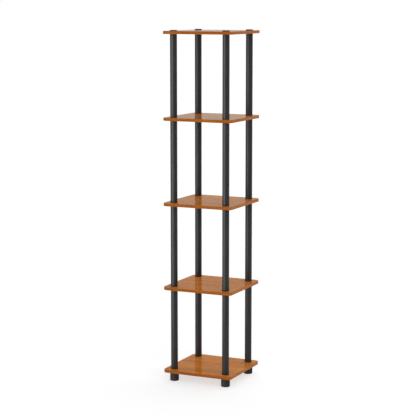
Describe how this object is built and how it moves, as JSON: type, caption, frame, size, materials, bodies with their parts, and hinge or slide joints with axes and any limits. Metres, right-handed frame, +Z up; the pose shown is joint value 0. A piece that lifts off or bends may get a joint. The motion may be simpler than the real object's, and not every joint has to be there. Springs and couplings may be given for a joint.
{
  "type": "open bookcase",
  "caption": "Tall narrow open bookcase of square cherry-laminate shelves on round black tube posts, with black feet and caps; stands in a corner and holds books and ornaments.",
  "frame": {"origin": "on the floor, midway between the four feet", "axes": "+Z up the columns; -Y is the front, +X the right-hand side seen from the front"},
  "size_m": [0.3, 0.3, 1.4205],
  "materials": {
    "cherry_laminate": "satin printed laminate, fine cherry grain from side to side",
    "cherry_edge_band": "satin cherry-coloured strip, rounded arrises",
    "tube_plastic": "satin charcoal extruded plastic",
    "plug_plastic": "moulded black plastic",
    "foot_plastic": "moulded black plastic, lightly grained",
    "cap_plastic": "moulded black plastic, satin"
  },
  "bodies": {
    "root": {"shelf_board_bottom": "cherry_laminate", "edge_band_bottom": "cherry_edge_band", "shelf_board_lower": "cherry_laminate", "edge_band_lower": "cherry_edge_band", "shelf_board_middle": "cherry_laminate", "edge_band_middle": "cherry_edge_band", "shelf_board_upper": "cherry_laminate", "edge_band_upper": "cherry_edge_band", "shelf_board_top": "cherry_laminate", "edge_band_top": "cherry_edge_band", "stud_plugs_tier_1": "plug_plastic", "socket_plugs_tier_1": "plug_plastic", "tube_tier_1_front_left": "tube_plastic", "tube_tier_1_front_right": "tube_plastic", "tube_tier_1_back_left": "tube_plastic", "tube_tier_1_back_right": "tube_plastic", "stud_plugs_tier_2": "plug_plastic", "socket_plugs_tier_2": "plug_plastic", "tube_tier_2_front_left": "tube_plastic", "tube_tier_2_front_right": "tube_plastic", "tube_tier_2_back_left": "tube_plastic", "tube_tier_2_back_right": "tube_plastic", "stud_plugs_tier_3": "plug_plastic", "socket_plugs_tier_3": "plug_plastic", "tube_tier_3_front_left": "tube_plastic", "tube_tier_3_front_right": "tube_plastic", "tube_tier_3_back_left": "tube_plastic", "tube_tier_3_back_right": "tube_plastic", "stud_plugs_tier_4": "plug_plastic", "socket_plugs_tier_4": "plug_plastic", "tube_tier_4_front_left": "tube_plastic", "tube_tier_4_front_right": "tube_plastic", "tube_tier_4_back_left": "tube_plastic", "tube_tier_4_back_right": "tube_plastic", "foot_front_left": "foot_plastic", "top_cap_front_left": "cap_plastic", "foot_front_right": "foot_plastic", "top_cap_front_right": "cap_plastic", "foot_back_left": "foot_plastic", "top_cap_back_left": "cap_plastic", "foot_back_right": "foot_plastic", "top_cap_back_right": "cap_plastic"}
  },
  "joints": []
}
